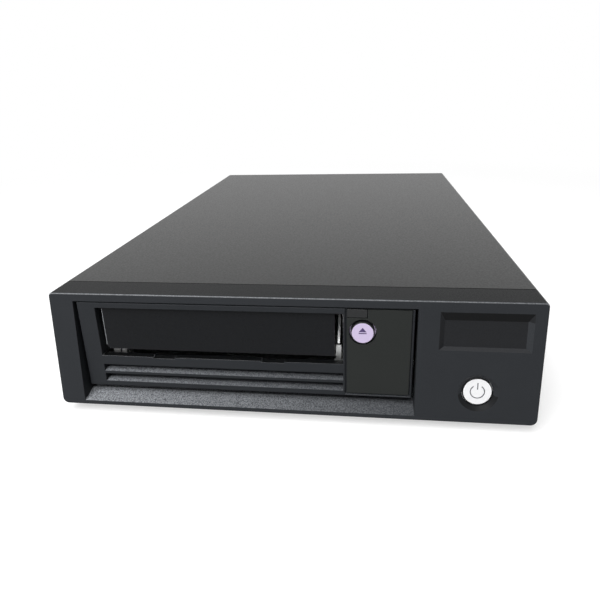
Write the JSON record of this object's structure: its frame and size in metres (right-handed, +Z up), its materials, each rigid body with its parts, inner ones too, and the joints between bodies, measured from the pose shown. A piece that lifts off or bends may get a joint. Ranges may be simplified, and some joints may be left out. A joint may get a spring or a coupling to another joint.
{
  "type": "data tape drive",
  "caption": "Desktop data tape drive: low painted sheet-metal case, leaning moulded front with a hinged cartridge door, eject and power buttons, rear fan, inlet and data ports.",
  "frame": {"origin": "middle of the footprint, on the surface that the feet stand on", "axes": "+Y from the front face to the back, +Z up, +X to the right seen from the front"},
  "size_m": [0.213, 0.3319, 0.0587],
  "materials": {
    "bezel_plastic": "fine moulded texture, charcoal",
    "drive_plastic": "fine moulded texture, near black",
    "panel_plastic": "smooth satin charcoal",
    "door_plastic": "smooth semi-gloss black",
    "white_button": "smooth white",
    "lilac_button": "smooth pale lilac",
    "smoke_window": "smoked window",
    "black_plastic": "black moulding",
    "gear_plastic": "natural acetal",
    "reel_plastic": "dark grey filled plastic",
    "cover_paint": "satin black powder coat",
    "zinc_steel": "zinc-plated sheet",
    "bright_steel": "bright stainless sheet",
    "screw_steel": "nickel-plated screws",
    "contact_metal": "nickel-plated brass",
    "cast_alloy": "die-cast, as cast",
    "roller_alloy": "turned",
    "head_alloy": "lapped ceramic and alloy",
    "circuit_board": "green solder mask",
    "foot_rubber": "matt black"
  },
  "bodies": {
    "enclosure": {"ac_inlet": "black_plastic", "bottom_tray": "zinc_steel", "cover_screws": "screw_steel", "data_port_1": "bright_steel", "data_port_2": "bright_steel", "drive_base": "cast_alloy", "drive_bezel": "drive_plastic", "drive_bracket_left": "zinc_steel", "drive_bracket_right": "zinc_steel", "drive_lid": "bright_steel", "drive_screws_left": "screw_steel", "drive_screws_right": "screw_steel", "eject_switch": "black_plastic", "fan_frame": "black_plastic", "fan_guard": "screw_steel", "fan_screws": "screw_steel", "front_bezel": "bezel_plastic", "front_board": "circuit_board", "head_actuator": "black_plastic", "inlet_blades": "contact_metal", "inlet_screws": "screw_steel", "loader_motor": "black_plastic", "main_board": "circuit_board", "port_board": "circuit_board", "power_switch": "black_plastic", "ramp_plate_left": "bright_steel", "ramp_plate_right": "bright_steel", "rear_panel": "cover_paint", "roller_pins": "bright_steel", "rubber_feet": "foot_rubber", "spindle_motor": "zinc_steel", "status_panel": "panel_plastic", "status_window": "smoke_window", "supply_board": "circuit_board", "supply_case": "zinc_steel", "switch_board": "circuit_board", "takeup_motor": "zinc_steel", "top_cover": "cover_paint"},
    "power_key": {"power_button": "white_button"},
    "fan_wheel": {"fan_rotor": "black_plastic"},
    "eject_key": {"eject_button": "lilac_button"},
    "door": {"cartridge_door": "door_plastic"},
    "carriage": {"cartridge_carriage": "bright_steel"},
    "slider": {"loader_slider": "gear_plastic"},
    "gear": {"loader_gear": "gear_plastic"},
    "hub": {"drive_hub": "bright_steel"},
    "reel": {"takeup_reel": "reel_plastic"},
    "roller_1": {"guide_roller_1": "roller_alloy"},
    "roller_2": {"guide_roller_2": "roller_alloy"},
    "roller_3": {"guide_roller_3": "roller_alloy"},
    "roller_4": {"guide_roller_4": "roller_alloy"},
    "head": {"tape_head": "head_alloy"}
  },
  "joints": [
    {"name": "power_press", "type": "slide", "parent": "enclosure", "child": "power_key", "axis": [0, 0.9957, -0.0922], "range_m": [0, 0.0016], "stiffness_N_per_m": 400, "springref_m": -0.001},
    {"name": "eject_press", "type": "slide", "parent": "enclosure", "child": "eject_key", "axis": [0, 1, 0], "range_m": [0, 0.0009], "stiffness_N_per_m": 400, "springref_m": -0.001},
    {"name": "door_swing", "type": "hinge", "parent": "enclosure", "child": "door", "pos_m": [-0.03105, -0.1587, 0.05125], "axis": [1, 0, 0], "range_deg": [0, 89], "stiffness_Nm_per_rad": 0.001, "springref_deg": -22.92},
    {"name": "carriage_load", "type": "slide", "parent": "enclosure", "child": "carriage", "axis": [0, 0.96, -0.28], "range_m": [0, 0.0125]},
    {"name": "slider_travel", "type": "slide", "parent": "enclosure", "child": "slider", "axis": [0, 1, 0], "range_m": [0, 0.012]},
    {"name": "gear_turn", "type": "hinge", "parent": "enclosure", "child": "gear", "pos_m": [0.03649, -0.109, 0.0245], "axis": [0, 0, 1], "range_deg": [-95.6, 0]},
    {"name": "hub_spin", "type": "hinge", "parent": "enclosure", "child": "hub", "pos_m": [-0.03105, -0.0946, 0.026], "axis": [0, 0, 1], "continuous": true},
    {"name": "reel_spin", "type": "hinge", "parent": "enclosure", "child": "reel", "pos_m": [-0.03105, 0.007, 0.0325], "axis": [0, 0, 1], "continuous": true},
    {"name": "head_track", "type": "slide", "parent": "enclosure", "child": "head", "axis": [0, 0, 1], "range_m": [-0.003, 0.003]},
    {"name": "fan_spin", "type": "hinge", "parent": "enclosure", "child": "fan_wheel", "pos_m": [-0.062, 0.151, 0.0322], "axis": [0, 1, 0], "continuous": true},
    {"name": "roller_1_spin", "type": "hinge", "parent": "enclosure", "child": "roller_1", "pos_m": [-0.07705, -0.0358, 0.0325], "axis": [0, 0, 1], "continuous": true},
    {"name": "roller_2_spin", "type": "hinge", "parent": "enclosure", "child": "roller_2", "pos_m": [-0.05505, -0.0358, 0.0325], "axis": [0, 0, 1], "continuous": true},
    {"name": "roller_3_spin", "type": "hinge", "parent": "enclosure", "child": "roller_3", "pos_m": [-0.00705, -0.0358, 0.0325], "axis": [0, 0, 1], "continuous": true},
    {"name": "roller_4_spin", "type": "hinge", "parent": "enclosure", "child": "roller_4", "pos_m": [0.01495, -0.0358, 0.0325], "axis": [0, 0, 1], "continuous": true}
  ],
  "couplings": [
    {"joint": "slider_travel", "follows": "carriage_load", "ratio": 0.96},
    {"joint": "gear_turn", "follows": "carriage_load", "rad_per_m": -133.33}
  ]
}
